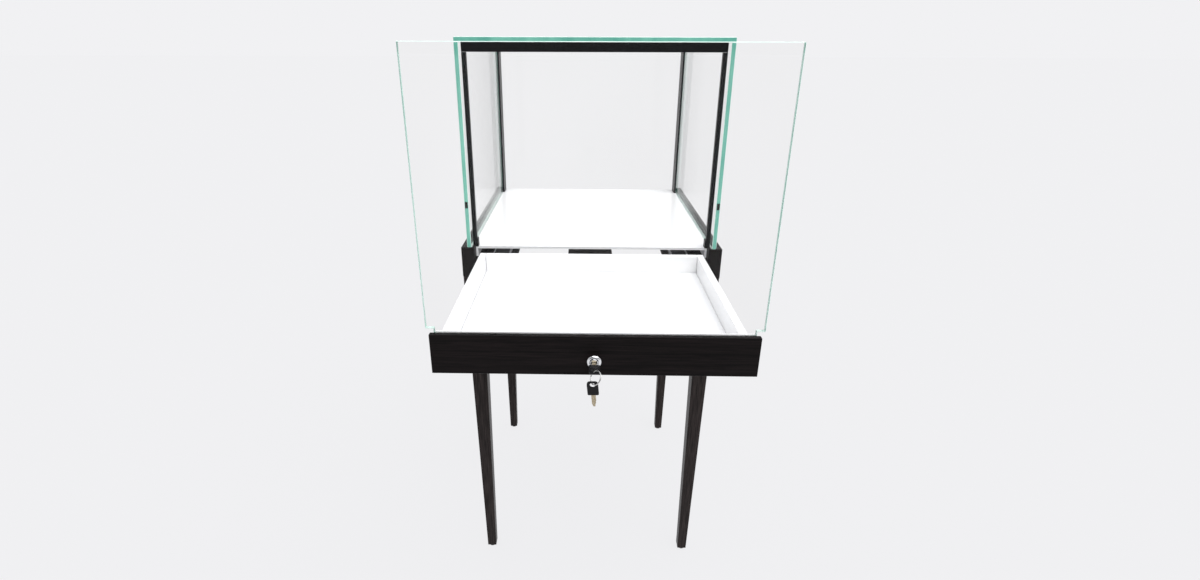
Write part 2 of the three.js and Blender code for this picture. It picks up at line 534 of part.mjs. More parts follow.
// The spare key hangs from the lowest point of the ring, its blade down.
const ringDown = new THREE.Vector3(0, 0, -1).projectOnPlane(RING_FACING).setLength(RING_RADIUS);
const spare = new THREE.Group();
spare.position.copy(ringCentre).add(ringDown).add(new THREE.Vector3(0, 0, -SPARE_DROP));
spare.rotation.set(-Math.PI / 2, SPARE_LEAN, SPARE_TURN, "YZX");
drawer.add(spare);
add(spare, "spare_key_head", keyHead(), plastic, 0, -KEY_HOLE_EDGE, 0);
add(spare, "spare_key_blade", keyBlade(), brass, 0, -KEY_HOLE_EDGE, 0);

// The origin is on the floor, in the middle of the whole outline with the drawer out.
const outline = new THREE.Box3().setFromObject(showcase, true);
cabinet.position.y = -(outline.min.y + outline.max.y) / 2;

export default showcase;
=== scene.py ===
import json
import math

import bmesh
import bpy
from mathutils import Euler, Matrix, Vector


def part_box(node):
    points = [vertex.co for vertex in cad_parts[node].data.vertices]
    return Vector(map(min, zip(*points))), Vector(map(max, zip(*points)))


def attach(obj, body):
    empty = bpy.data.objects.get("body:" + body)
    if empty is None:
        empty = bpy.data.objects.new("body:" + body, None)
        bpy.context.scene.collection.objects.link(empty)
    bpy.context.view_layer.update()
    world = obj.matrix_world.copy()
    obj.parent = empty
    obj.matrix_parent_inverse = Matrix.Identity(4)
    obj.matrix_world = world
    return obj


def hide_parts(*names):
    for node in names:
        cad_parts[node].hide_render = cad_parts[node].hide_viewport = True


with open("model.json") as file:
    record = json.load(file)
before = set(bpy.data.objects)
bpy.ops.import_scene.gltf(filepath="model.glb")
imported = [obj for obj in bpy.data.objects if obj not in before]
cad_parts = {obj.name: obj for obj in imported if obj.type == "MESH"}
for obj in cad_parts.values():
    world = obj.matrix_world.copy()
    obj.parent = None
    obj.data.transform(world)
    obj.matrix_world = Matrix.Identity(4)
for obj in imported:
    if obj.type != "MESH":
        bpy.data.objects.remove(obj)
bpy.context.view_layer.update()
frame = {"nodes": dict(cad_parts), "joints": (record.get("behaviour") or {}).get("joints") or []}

# Glass display showcase on a tapered-leg base, shown with its drawer out. Metres, +Z up, the
# shopper stands towards -Y. The pieces' places come from the CAD nodes' boxes.

MM = 0.001
bpy.context.scene.view_settings.view_transform = "Standard"

GAP = 0.3 * MM                  # the glue line or the play between two pieces
GROOVE_STOP = 3 * MM            # wood left in front of the side panes, which are notched around it

base_low, base_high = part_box("left_base_panel")
BASE_FRONT = base_low.y
BASE_MIDDLE = (BASE_FRONT + base_high.y) / 2
BASE_TOP = base_high.z
front_low, front_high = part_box("drawer_front")
DRAWER_FACE = front_low.y

# ---- camera --------------------------------------------------------------------------------------
EYE_ASIDE = -0.01852            # from the case's middle to the lens
EYE_BEFORE_BASE = 1.01663       # from the base's front to the lens
EYE_HEIGHT = 1.13703
EYE_TURNS = (68.9008, -0.141, 1.0261)   # degrees about X, Y and Z
FILM_WIDTH, LENS = 36, 16.918           # millimetres
FILM_SHIFT = (0.0229, -0.0228)
NEAR, FAR = 0.02, 60
camera = bpy.data.objects.new("camera", bpy.data.cameras.new("camera"))
bpy.context.scene.collection.objects.link(camera)
camera.location = (EYE_ASIDE, BASE_FRONT - EYE_BEFORE_BASE, EYE_HEIGHT)
camera.rotation_euler = Euler([math.radians(turn) for turn in EYE_TURNS])
camera.data.sensor_width, camera.data.lens = FILM_WIDTH, LENS
camera.data.shift_x, camera.data.shift_y = FILM_SHIFT
camera.data.clip_start, camera.data.clip_end = NEAR, FAR
bpy.context.scene.camera = camera


# ---- workshop helpers ----------------------------------------------------------------------------
def let_go():
    if bpy.context.object and bpy.context.object.mode == "EDIT":
        bpy.ops.object.mode_set(mode="OBJECT")
    bpy.ops.object.select_all(action="DESELECT")


def pick_up(piece):
    let_go()
    piece.select_set(True)
    bpy.context.view_layer.objects.active = piece


def new_from_primitive(name):
    """Names the primitive just added and puts its place into its mesh."""
    piece = bpy.context.object
    piece.name = name
    piece.data.name = name
    bpy.ops.object.transform_apply(location=True, rotation=True, scale=True)
    return piece


def block(name, low, high):
    """A cube at its size and place, ready to be shaped."""
    let_go()
    low, high = Vector(low), Vector(high)
    bpy.ops.mesh.primitive_cube_add(size=1, location=(low + high) / 2)
    bpy.context.object.scale = high - low
    return new_from_primitive(name)


def open_up(piece, kind="FACE"):
    """Puts a piece in edit mode with nothing selected."""
    pick_up(piece)
    bpy.ops.object.mode_set(mode="EDIT")
    bpy.ops.mesh.select_mode(type=kind)
    bpy.ops.mesh.select_all(action="DESELECT")


def choose(piece, test, kind="faces"):
    """Selects just the open piece's faces, edges or vertices that pass the test.

    The test is given a face's middle and normal, an edge's middle and run, or a vertex's place
    and normal.
    """
    bpy.ops.mesh.select_mode(type={"faces": "FACE", "edges": "EDGE", "verts": "VERT"}[kind])
    bpy.ops.mesh.select_all(action="DESELECT")
    body = bmesh.from_edit_mesh(piece.data)
    for thing in getattr(body, kind):
        if kind == "faces":
            hit = test(thing.calc_center_median(), thing.normal)
        elif kind == "edges":
            start, end = (vert.co for vert in thing.verts)
            hit = test((start + end) / 2, end - start)
        else:
            hit = test(thing.co, thing.normal)
        if hit:
            thing.select_set(True)
    body.select_flush_mode()
    bmesh.update_edit_mesh(piece.data)


def score(axis, *places):
    """Cuts a line all round the open piece at each place along one axis."""
    along = Vector([float(name == axis) for name in "XYZ"])
    for place in places:
        bpy.ops.mesh.select_all(action="SELECT")
        bpy.ops.mesh.bisect(plane_co=along * place, plane_no=along)


def pull(offset):
    """Extrudes what is selected."""
    bpy.ops.mesh.extrude_region_move(
        TRANSFORM_OT_translate={"value": tuple(offset), "orient_type": "GLOBAL"})


def tidy_shell(piece):
    """Closes a shell's seams and turns its faces outwards."""
    open_up(piece)
    bpy.ops.mesh.select_all(action="SELECT")
    bpy.ops.mesh.remove_doubles(threshold=1e-6)
    bpy.ops.mesh.normals_make_consistent(inside=False)
    let_go()


def soften(piece, width, segments=2):
    """Rounds every sharp edge and keeps the flats looking flat."""
    pick_up(piece)
    bevel = piece.modifiers.new("softened_edges", "BEVEL")
    bevel.width = width
    bevel.segments = segments
    bevel.limit_method = "ANGLE"
    bevel.angle_limit = math.radians(40)
    bpy.ops.object.modifier_apply(modifier=bevel.name)
    smooth(piece)


def smooth(piece, angle=50):
    """Shades a piece smooth where its faces meet at less than the angle."""
    pick_up(piece)
    bpy.ops.object.shade_smooth_by_angle(angle=math.radians(angle))
    weighted = piece.modifiers.new("flat_faces_first", "WEIGHTED_NORMAL")
    weighted.keep_sharp = True
    bpy.ops.object.modifier_apply(modifier=weighted.name)
    let_go()


def carve(piece, cutter):
    """Takes the cutter's shape out of the piece and throws the cutter away."""
    pick_up(piece)
    hollow = piece.modifiers.new("carved", "BOOLEAN")
    hollow.object = cutter
    hollow.operation = "DIFFERENCE"
    hollow.solver = "EXACT"
    bpy.ops.object.modifier_apply(modifier=hollow.name)
    bpy.data.objects.remove(cutter)


def drill(name, radius, centre, length, turn=(0, 0, 0)):
    """A plain round cutter."""
    let_go()
    bpy.ops.mesh.primitive_cylinder_add(
        vertices=48, radius=radius, depth=length, location=centre, rotation=turn)
    return new_from_primitive(name)


def turned(name, centre, profile, axis="Y", segments=48, closed=False):
    """A ring drawn out along its axis. Each step of the profile is a radius and a distance along.

    A closed profile comes back to its first step and leaves a bore. An open one is capped.
    """
    let_go()
    along = Vector((0, 1, 0)) if axis == "Y" else Vector((0, 0, 1))
    centre = Vector(centre)
    radius, far = profile[0]
    bpy.ops.mesh.primitive_circle_add(
        vertices=segments, radius=radius, fill_type="NOTHING", location=centre + along * far,
        rotation=(math.pi / 2, 0, 0) if axis == "Y" else (0, 0, 0))
    piece = new_from_primitive(name)
    open_up(piece, "EDGE")
    bpy.ops.mesh.select_all(action="SELECT")
    for next_radius, next_far in profile[1:]:
        pull(along * (next_far - far))
        ratio = next_radius / radius
        scale = (ratio, 1, ratio) if axis == "Y" else (ratio, ratio, 1)
        bpy.ops.transform.resize(value=scale, center_override=centre + along * next_far)
        radius, far = next_radius, next_far
    if not closed:
        bpy.ops.mesh.edge_face_add()
        start = along.dot(centre) + profile[0][1]
        reach = math.hypot(*profile[0])
        choose(piece, lambda mid, run: abs(along.dot(mid) - start) < 1e-6
               and abs(run.dot(along)) < 1e-7
               and abs((mid - centre).length - reach) < 3e-4, "edges")
        bpy.ops.mesh.edge_face_add()
    tidy_shell(piece)
    return piece


def copied(piece, name, place=Matrix.Identity(4)):
    """Another of the same piece, with its own mesh, moved or turned within that mesh."""
    twin = piece.copy()
    twin.data = piece.data.copy()
    twin.name = name
    twin.data.name = name
    bpy.context.scene.collection.objects.link(twin)
    twin.data.transform(place)
    if place.determinant() < 0:
        tidy_shell(twin)
        smooth(twin)
    return twin


def across(y=None):
    """The flip that makes a right-hand piece of a left-hand one, or a rear one of a front one."""
    if y is None:
        return Matrix.Scale(-1, 4, (1, 0, 0))
    return Matrix.Translation((0, 2 * y, 0)) @ Matrix.Scale(-1, 4, (0, 1, 0))


def put_in(piece, body, finishes, node):
    """Gives a piece its finishes, its body and the CAD node that it stands for."""
    let_go()
    if not isinstance(finishes, (list, tuple)):
        finishes = [finishes]
    indices = [face.material_index for face in piece.data.polygons]
    piece.data.materials.clear()
    for finish in finishes:
        piece.data.materials.append(finish)
    for face, index in zip(piece.data.polygons, indices):
        face.material_index = index
    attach(piece, body)
    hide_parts(node)


def put_in_pair(piece, right_name, body, finish, left_node):
    """Puts a left-hand piece in, and its mirrored twin for the right-hand node."""
    twin = copied(piece, right_name, across())
    put_in(piece, body, finish, left_node)
    put_in(twin, body, finish, left_node.replace("left", "right"))


# ---- finishes ------------------------------------------------------------------------------------
def new_finish(name, roughness=0.5, metallic=0.0, specular=0.5, coat=0.0, coat_roughness=0.1):
    finish = bpy.data.materials.new(name)
    finish.use_nodes = True
    shader = finish.node_tree.nodes["Principled BSDF"]
    shader.inputs["Roughness"].default_value = roughness
    shader.inputs["Metallic"].default_value = metallic
    shader.inputs["Specular IOR Level"].default_value = specular
    shader.inputs["Coat Weight"].default_value = coat
    shader.inputs["Coat Roughness"].default_value = coat_roughness
    return finish, finish.node_tree, shader


def object_places(tree, stretch=(1, 1, 1)):
    """The piece's own coordinates, squeezed along each axis by the numbers given."""
    places = tree.nodes.new("ShaderNodeTexCoord")
    mapping = tree.nodes.new("ShaderNodeMapping")
    mapping.inputs["Scale"].default_value = stretch
    tree.links.new(places.outputs["Object"], mapping.inputs["Vector"])
    return mapping.outputs["Vector"]


def cloudy(tree, vector, scale, detail=4.0, roughness=0.55, distortion=0.0):
    """A cloudy amount from 0 to 1, with so many clouds to the metre."""
    noise = tree.nodes.new("ShaderNodeTexNoise")
    noise.inputs["Scale"].default_value = scale
    noise.inputs["Detail"].default_value = detail
    noise.inputs["Roughness"].default_value = roughness
    noise.inputs["Distortion"].default_value = distortion
    tree.links.new(vector, noise.inputs["Vector"])
    return noise.outputs["Fac"]


def tinted(tree, amount, stops):
    """Turns an amount into a colour, by a ramp of places and their colours."""
    ramp = tree.nodes.new("ShaderNodeValToRGB")
    marks = ramp.color_ramp.elements
    for mark, (place, colour) in zip(marks, (stops[0], stops[-1])):
        mark.position, mark.color = place, (*colour, 1)
    for place, colour in stops[1:-1]:
        marks.new(place).color = (*colour, 1)
    tree.links.new(amount, ramp.inputs["Fac"])
    return ramp.outputs["Color"]


def between(tree, amount, low, high):
    """Turns an amount from 0 to 1 into one from low to high."""
    spread = tree.nodes.new("ShaderNodeMapRange")
    spread.inputs["To Min"].default_value = low
    spread.inputs["To Max"].default_value = high
    tree.links.new(amount, spread.inputs["Value"])
    return spread.outputs["Result"]


def raised(tree, shader, height, distance, strength):
    """Raises the surface where the height is high."""
    bump = tree.nodes.new("ShaderNodeBump")
    bump.inputs["Distance"].default_value = distance
    bump.inputs["Strength"].default_value = strength
    tree.links.new(height, bump.inputs["Height"])
    tree.links.new(bump.outputs["Normal"], shader.inputs["Normal"])


def multiplied(tree, one, other):
    blend = tree.nodes.new("ShaderNodeMix")
    blend.data_type = "RGBA"
    blend.blend_type = "MULTIPLY"
    blend.inputs["Factor"].default_value = 1.0
    tree.links.new(one, blend.inputs[6])
    tree.links.new(other, blend.inputs[7])
    return blend.outputs[2]


def grain(along, slimness):
    """How much to squeeze a pattern's places so that it is drawn out along one axis."""
    return tuple(slimness if name == along else 1 for name in "XYZ")


def espresso_wood(name, along, dark=(0.0016, 0.0010, 0.0011), light=(0.0078, 0.0052, 0.0055)):
    """Dark stained veneer with a fine straight grain that runs along one axis."""
    finish, tree, shader = new_finish(name, roughness=0.34, specular=0.09)
    run = grain(along, 0.035)
    fine = cloudy(tree, object_places(tree, run), 520, detail=6, roughness=0.62)
    broad = cloudy(tree, object_places(tree, run), 70, detail=3, distortion=0.6)
    pale = tuple(tone * 1.7 for tone in light)
    pores = tinted(tree, fine, [(0.36, dark), (0.55, light), (0.74, pale)])
    bands = tinted(tree, broad, [(0.3, (0.62, 0.6, 0.6)), (0.7, (1.0, 1.0, 1.0))])
    tree.links.new(multiplied(tree, pores, bands), shader.inputs["Base Color"])
    tree.links.new(between(tree, fine, 0.27, 0.46), shader.inputs["Roughness"])
    raised(tree, shader, fine, 0.00012, 0.6)
    return finish


def white_laminate(name, along):
    """Glossy white board with the faint bluish streaks of its pressing."""
    finish, tree, shader = new_finish(name, roughness=0.2, coat=0.3, coat_roughness=0.08)
    streak = cloudy(tree, object_places(tree, grain(along, 0.05)), 38, detail=3, roughness=0.5)
    whites = tinted(tree, streak, [(0.3, (0.93, 0.94, 0.96)), (0.68, (0.975, 0.975, 0.975))])
    tree.links.new(whites, shader.inputs["Base Color"])
    skin = cloudy(tree, object_places(tree), 900, detail=2)
    tree.links.new(between(tree, skin, 0.16, 0.27), shader.inputs["Roughness"])
    raised(tree, shader, skin, 0.00002, 0.35)
    return finish


def black_profile():
    """Black satin strip with the fine upright lines of its drawing."""
    finish, tree, shader = new_finish("black_satin_profile", roughness=0.36, specular=0.16)
    drawn = cloudy(tree, object_places(tree, grain("Z", 0.04)), 700)
    blacks = tinted(tree, drawn, [(0.3, (0.003, 0.003, 0.0035)), (0.75, (0.009, 0.009, 0.011))])
    tree.links.new(blacks, shader.inputs["Base Color"])
    tree.links.new(between(tree, drawn, 0.28, 0.46), shader.inputs["Roughness"])
    raised(tree, shader, drawn, 0.00003, 0.4)
    return finish


def plain_metal(name, low, high, rough, scale, run=(1, 1, 1), depth=0.00003, metallic=1.0):
    """Metal whose tone and polish vary where it is handled."""
    finish, tree, shader = new_finish(name, roughness=0.3, metallic=metallic)
    worn = cloudy(tree, object_places(tree, run), scale, detail=5)
    tree.links.new(tinted(tree, worn, [(0.32, low), (0.7, high)]), shader.inputs["Base Color"])
    tree.links.new(between(tree, worn, *rough), shader.inputs["Roughness"])
    raised(tree, shader, worn, depth, 0.5)
    return finish


def moulded(name, low, high, rough, scale=1400, depth=0.00004, specular=0.5):
    """Moulded plastic, rubber or paint with a fine skin and faint wear."""
    finish, tree, shader = new_finish(name, roughness=0.4, specular=specular)
    skin = cloudy(tree, object_places(tree), scale, detail=3)
    wear = cloudy(tree, object_places(tree), 60)
    tree.links.new(tinted(tree, wear, [(0.3, low), (0.72, high)]), shader.inputs["Base Color"])
    tree.links.new(between(tree, skin, *rough), shader.inputs["Roughness"])
    raised(tree, shader, skin, depth, 0.5)
    return finish


def clear_glass(name, tint):
    """Float glass: light passes with a faint tint, and the surface mirrors more at a glance."""
    finish = bpy.data.materials.new(name)
    finish.use_nodes = True
    tree = finish.node_tree
    tree.nodes.remove(tree.nodes["Principled BSDF"])
    through = tree.nodes.new("ShaderNodeBsdfTransparent")
    mirror = tree.nodes.new("ShaderNodeBsdfGlossy")
    glance = tree.nodes.new("ShaderNodeLayerWeight")
    mix = tree.nodes.new("ShaderNodeMixShader")
    glance.inputs["Blend"].default_value = 0.5
    mirror.inputs["Roughness"].default_value = 0.01
    smear = cloudy(tree, object_places(tree, grain("Z", 0.6)), 3.2, detail=3)
    wiped = tuple(min(1, tone * 1.018) for tone in tint)
    tree.links.new(tinted(tree, smear, [(0.35, tint), (0.7, wiped)]), through.inputs["Color"])
    shares = [(0.0, 0.009), (0.6, 0.016), (0.8, 0.08), (0.9, 0.76), (1.0, 0.97)]
    sheen = tinted(tree, glance.outputs["Facing"], [(turn, (share,) * 3) for turn, share in shares])
    tree.links.new(sheen, mix.inputs[0])
    tree.links.new(through.outputs["BSDF"], mix.inputs[1])
    tree.links.new(mirror.outputs["BSDF"], mix.inputs[2])
    tree.links.new(mix.outputs["Shader"], tree.nodes["Material Output"].inputs["Surface"])
    return finish


def glass_edge(name, low, high, rough=0.08):
    """The polished edge of a pane, where the glass shows its green depth."""
    finish, tree, shader = new_finish(
        name, roughness=rough, specular=0.6, coat=0.5, coat_roughness=0.03)
    depth = cloudy(tree, object_places(tree, grain("Z", 0.3)), 24, detail=3)
    tree.links.new(tinted(tree, depth, [(0.3, low), (0.7, high)]), shader.inputs["Base Color"])
    return finish


wood_x = espresso_wood("espresso_wood_grain_across", "X")
wood_y = espresso_wood("espresso_wood_grain_deep", "Y")
# The legs' wood gets paler tones than the other dark wood: its own dark grain, lightened as painted
# sheen.
wood_z_painted_sheen = espresso_wood("espresso_wood_grain_upright", "Z", dark=(0.0105, 0.0082, 0.0080),
                       light=(0.037, 0.0293, 0.0282))
laminate_deep = white_laminate("white_laminate_deep", "Y")
laminate_across = white_laminate("white_laminate_across", "X")
black = black_profile()
case_glass = clear_glass("clear_case_glass", (0.996, 0.998, 0.997))
front_pane_glass = clear_glass("clear_front_pane_glass", (0.984, 0.983, 0.981))
green_edge = glass_edge("green_polished_edge", (0.085, 0.38, 0.295), (0.23, 0.62, 0.49))
pale_edge = glass_edge("pale_front_pane_edge", (0.12, 0.36, 0.28), (0.33, 0.62, 0.52))
arris = glass_edge("ground_arris", (0.62, 0.86, 0.78), (0.86, 0.95, 0.92), rough=0.35)
chrome = plain_metal("polished_chrome", (0.74, 0.75, 0.77), (0.88, 0.89, 0.91),
                     rough=(0.05, 0.12), scale=90, depth=0.00001)
zinc = plain_metal("zinc_plated_steel", (0.42, 0.43, 0.45), (0.68, 0.69, 0.72),
                   rough=(0.22, 0.42), scale=260)
# The outer slide members get a pale, half-metallic steel: their galvanised tone, brightened as
# painted highlight.
slide_steel = plain_metal("galvanised_slide_steel", (0.70, 0.71, 0.73), (0.88, 0.89, 0.91),
                          rough=(0.3, 0.5), scale=320, run=grain("Y", 0.08), metallic=0.55)
# The middle slide members are coloured near black: painted shade inside the slide channels.
steel_in_painted_shade = plain_metal("greased_slide_steel", (0.05, 0.05, 0.052), (0.12, 0.12, 0.125),
                            rough=(0.3, 0.5), scale=320, run=grain("Y", 0.08))
ring_steel = plain_metal("sprung_ring_steel", (0.5, 0.5, 0.5), (0.78, 0.78, 0.77),
                         rough=(0.15, 0.3), scale=900)
key_metal = plain_metal("rubbed_key_metal", (0.30, 0.24, 0.15), (0.62, 0.55, 0.42),
                        rough=(0.2, 0.42), scale=700)
key_plastic = moulded("black_key_plastic", (0.004, 0.004, 0.005), (0.011, 0.011, 0.013),
                      rough=(0.32, 0.5), specular=0.2)
rubber = moulded("black_rubber", (0.005, 0.007, 0.006), (0.014, 0.018, 0.016),
                 rough=(0.6, 0.8), specular=0.3)
nylon = moulded("dark_nylon", (0.012, 0.012, 0.012), (0.03, 0.03, 0.03), rough=(0.4, 0.6))
painted_board = moulded("black_painted_board", (0.006, 0.005, 0.005), (0.016, 0.013, 0.012),
                        rough=(0.55, 0.75), scale=500, depth=0.0001, specular=0.3)

# ---- glass ---------------------------------------------------------------------------------------
ARRIS = 0.7 * MM
CLEAR, POLISHED, GROUND = 0, 1, 2       # a pane's broad faces, its edges, and its arrises and foot


def edge_the_pane(pane, thin):
    """Grinds the pane's edges and marks which finish each face has."""
    pick_up(pane)
    grind = pane.modifiers.new("ground_edges", "BEVEL")
    grind.width = ARRIS
    grind.segments = 1
    grind.limit_method = "ANGLE"
    bpy.ops.object.modifier_apply(modifier=grind.name)
    for face in pane.data.polygons:
        if abs(face.normal["XYZ".index(thin)]) > 0.99:
            face.material_index = CLEAR
        elif face.normal.z > -0.99 and max(abs(turn) for turn in face.normal) > 0.99:
            face.material_index = POLISHED
        else:
            face.material_index = GROUND


for node, thin in (("top_glass", "Z"), ("left_side_glass", "X"), ("right_side_glass", "X"),
                   ("rear_glass", "Y")):
    low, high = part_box(node)
    foot = low.z
    if thin == "X":
        low.z = BASE_TOP + GAP
    pane = block(node.replace("glass", "pane"), low, high)
    if thin == "X":
        stop = BASE_FRONT + GROOVE_STOP + GAP
        open_up(pane)
        score("Y", stop)
        choose(pane, lambda mid, facing: facing.z < -0.9 and mid.y > stop)
        pull((0, 0, foot - low.z))
    edge_the_pane(pane, thin)
    put_in(pane, "cabinet", [case_glass, green_edge, arris], node)

SHOULDER_RISE = 5 * MM          # the front pane is wider from here up
pane_low, pane_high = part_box("front_glass")
tongue_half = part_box("glass_clamp_strip")[1].x
shoulder = BASE_TOP + SHOULDER_RISE
pane = block("front_pane", (pane_low.x, pane_low.y, shoulder), pane_high)
open_up(pane)
score("X", tongue_half, -tongue_half)
choose(pane, lambda mid, facing: facing.z < -0.9 and abs(mid.x) < tongue_half)
pull((0, 0, pane_low.z - shoulder))
edge_the_pane(pane, "Y")
put_in(pane, "drawer", [front_pane_glass, pale_edge, arris], "front_glass")

# ---- base panels ---------------------------------------------------------------------------------
PANEL_ROUNDING = 0.7 * MM
NEARLY = 0.01 * MM              # how far off a place may be and still count
glass_low, glass_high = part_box("left_side_glass")
deck_low, deck_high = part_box("deck_sheet")
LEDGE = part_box("deck_board")[1].z
GLASS_FOOT = glass_low.z - GAP
groove_out, groove_in = glass_low.x - GAP, glass_high.x + GAP
groove_front = BASE_FRONT + GROOVE_STOP
deck_rebate = deck_low.y - GAP
glass_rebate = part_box("rear_glass")[0].y - GAP

# The panel's top is raised to the ledge that the deck lies on, and then, round the deck, higher.
panel = block("left_panel", base_low, (base_high.x, base_high.y, GLASS_FOOT))
open_up(panel)
score("X", groove_out, groove_in)
score("Y", groove_front, deck_rebate, glass_rebate)
choose(panel, lambda mid, facing: facing.z > 0.9 and (
    mid.x < groove_out or mid.y < groove_front or (mid.x > groove_in and mid.y < glass_rebate)))
pull((0, 0, LEDGE - GLASS_FOOT))
choose(panel, lambda mid, facing: facing.z > 0.9 and mid.z > LEDGE - NEARLY and (
    mid.x < groove_out or mid.y < groove_front or (mid.x > groove_in and mid.y < deck_rebate)))
pull((0, 0, BASE_TOP - LEDGE))
soften(panel, PANEL_ROUNDING)
put_in_pair(panel, "right_panel", "cabinet", wood_y, "left_base_panel")

rear_low, rear_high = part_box("rear_base_panel")
panel = block("rear_panel", rear_low, (rear_high.x, rear_high.y, GLASS_FOOT))
open_up(panel)
score("Y", glass_rebate)
choose(panel, lambda mid, facing: facing.z > 0.9 and mid.y < glass_rebate)
pull((0, 0, LEDGE - GLASS_FOOT))
soften(panel, PANEL_ROUNDING)
put_in(panel, "cabinet", wood_x, "rear_base_panel")

# ---- legs ----------------------------------------------------------------------------------------
leg_low, leg_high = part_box("front_left_leg")
glide_low, glide_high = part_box("front_left_glide")
LEG_FOOT = 20 * MM              # the leg's width at its foot
foot_middle = (glide_low + glide_high) / 2
leg = block("front_left_tapered_leg", leg_low, leg_high)
open_up(leg)
choose(leg, lambda mid, facing: facing.z < -0.9)
taper = LEG_FOOT / (leg_high.x - leg_low.x)
middle = (leg_low + leg_high) / 2
bpy.ops.transform.resize(value=(taper, taper, 1), center_override=(middle.x, middle.y, leg_low.z))
bpy.ops.transform.translate(value=(foot_middle.x - middle.x, foot_middle.y - middle.y, 0))
soften(leg, 0.9 * MM)

glide_top = glide_high.z - glide_low.z
glide = turned("front_left_foot_glide", (foot_middle.x, foot_middle.y, glide_low.z), [
    (5.0 * MM, 0.5 * MM), (5.4 * MM, 0.0), (7.0 * MM, 0.0), (7.9 * MM, 0.35 * MM),
    (8.5 * MM, 1.3 * MM), (8.5 * MM, glide_top)], axis="Z")
smooth(glide)

corners = {
    "front_left": None, "front_right": across(), "rear_left": across(BASE_MIDDLE),
    "rear_right": across() @ across(BASE_MIDDLE)}
for corner, flip in corners.items():
    this_leg, this_glide = leg, glide
    if flip is not None:
        this_leg = copied(leg, f"{corner}_tapered_leg", flip)
        this_glide = copied(glide, f"{corner}_foot_glide", flip)
    put_in(this_leg, "cabinet", wood_z_painted_sheen, f"{corner}_leg")
    put_in(this_glide, "cabinet", nylon, f"{corner}_glide")

# ---- deck and black strips -----------------------------------------------------------------------
STRIP_ROUNDING = 0.5 * MM
POST = 8 * MM                   # a front post's width and depth
POST_FOOT = 15 * MM             # how far the small block at its foot stands above the deck
post_low, post_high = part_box("front_left_post")
strip_low, strip_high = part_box("rear_left_strip")
front_notch = -post_high.x - GAP
rear_notch = -strip_high.x - GAP
notch_rear = post_high.y + GAP
notch_front = strip_low.y - GAP
deck = block("white_deck", (-front_notch, deck_low.y, deck_low.z),
             (front_notch, deck_high.y, deck_high.z))
open_up(deck)
score("Y", notch_rear, notch_front)
for sign in (-1, 1):
    choose(deck, lambda mid, facing: facing.x * sign > 0.9 and mid.y > notch_rear)
    pull((sign * (rear_notch - front_notch), 0, 0))
    choose(deck, lambda mid, facing: facing.x * sign > 0.9 and notch_rear < mid.y < notch_front)
    pull((sign * (deck_high.x - rear_notch), 0, 0))
soften(deck, 0.3 * MM, 1)
put_in(deck, "cabinet", laminate_deep, "deck_sheet")

strip = block("header_profile", *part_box("front_header_strip"))
soften(strip, STRIP_ROUNDING)
put_in(strip, "cabinet", black, "front_header_strip")

foot_top = deck_high.z + POST_FOOT
post_inner, post_back = post_low.x + POST, post_low.y + POST
post = block("front_left_profile", post_low, (post_high.x, post_high.y, foot_top))
open_up(post)
score("X", post_inner)
score("Y", post_back)
choose(post, lambda mid, facing: facing.z > 0.9 and mid.x < post_inner and mid.y < post_back)
pull((0, 0, post_high.z - foot_top))
soften(post, STRIP_ROUNDING)
put_in_pair(post, "front_right_profile", "cabinet", black, "front_left_post")

strip = block("rear_left_profile", strip_low, strip_high)
soften(strip, STRIP_ROUNDING)
put_in_pair(strip, "rear_right_profile", "cabinet", black, "rear_left_strip")

bumper = block("left_edge_bumper", *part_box("left_glass_bumper"))
soften(bumper, STRIP_ROUNDING, 3)
put_in_pair(bumper, "right_edge_bumper", "cabinet", rubber, "left_glass_bumper")

# ---- drawer --------------------------------------------------------------------------------------
REBATE_FRONT = DRAWER_FACE + 8 * MM     # the front pane's foot stands behind this
REBATE_FLOOR = BASE_TOP - 22 * MM
LOCK_BORE = 8.3 * MM
lock_low, lock_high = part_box("lock_housing")
LOCK = Vector(((lock_low.x + lock_high.x) / 2, DRAWER_FACE, (lock_low.z + lock_high.z) / 2))
front = block("drawer_face", front_low, (front_high.x, front_high.y, REBATE_FLOOR))
open_up(front)
score("Y", REBATE_FRONT)
choose(front, lambda mid, facing: facing.z > 0.9 and mid.y < REBATE_FRONT)
pull((0, 0, BASE_TOP - REBATE_FLOOR))
soften(front, 1.0 * MM, 3)
front_middle = LOCK + Vector((0, 9 * MM, 0))
carve(front, drill("lock_bore", LOCK_BORE, front_middle, 30 * MM, (math.pi / 2, 0, 0)))
smooth(front)
put_in(front, "drawer", wood_x, "drawer_front")

BOARD_ROUNDING = 0.6 * MM
inner_low, inner_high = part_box("drawer_inner_front")
NOTCH_LEFT, NOTCH_RIGHT, NOTCH_TOP = -14 * MM, 30 * MM, LOCK.z + 14 * MM     # clears nut and cam
inner = block("drawer_sub_front", (inner_low.x, inner_low.y, NOTCH_TOP), inner_high)
open_up(inner)
score("X", NOTCH_LEFT, NOTCH_RIGHT)
choose(inner, lambda mid, facing: facing.z < -0.9 and not NOTCH_LEFT < mid.x < NOTCH_RIGHT)
pull((0, 0, inner_low.z - NOTCH_TOP))
soften(inner, BOARD_ROUNDING)
put_in(inner, "drawer", laminate_across, "drawer_inner_front")

wall = block("drawer_left_wall", *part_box("drawer_left_side"))
soften(wall, 0.8 * MM)
put_in_pair(wall, "drawer_right_wall", "drawer", laminate_deep,
            "drawer_left_side")
for node, name, finish in (("drawer_rear", "drawer_rear_wall", laminate_across),
                           ("drawer_bottom", "drawer_floor", laminate_deep),
                           ("glass_clamp_strip", "clamp_strip", laminate_across)):
    board = block(name, *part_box(node))
    soften(board, BOARD_ROUNDING)
    put_in(board, "drawer", finish, node)

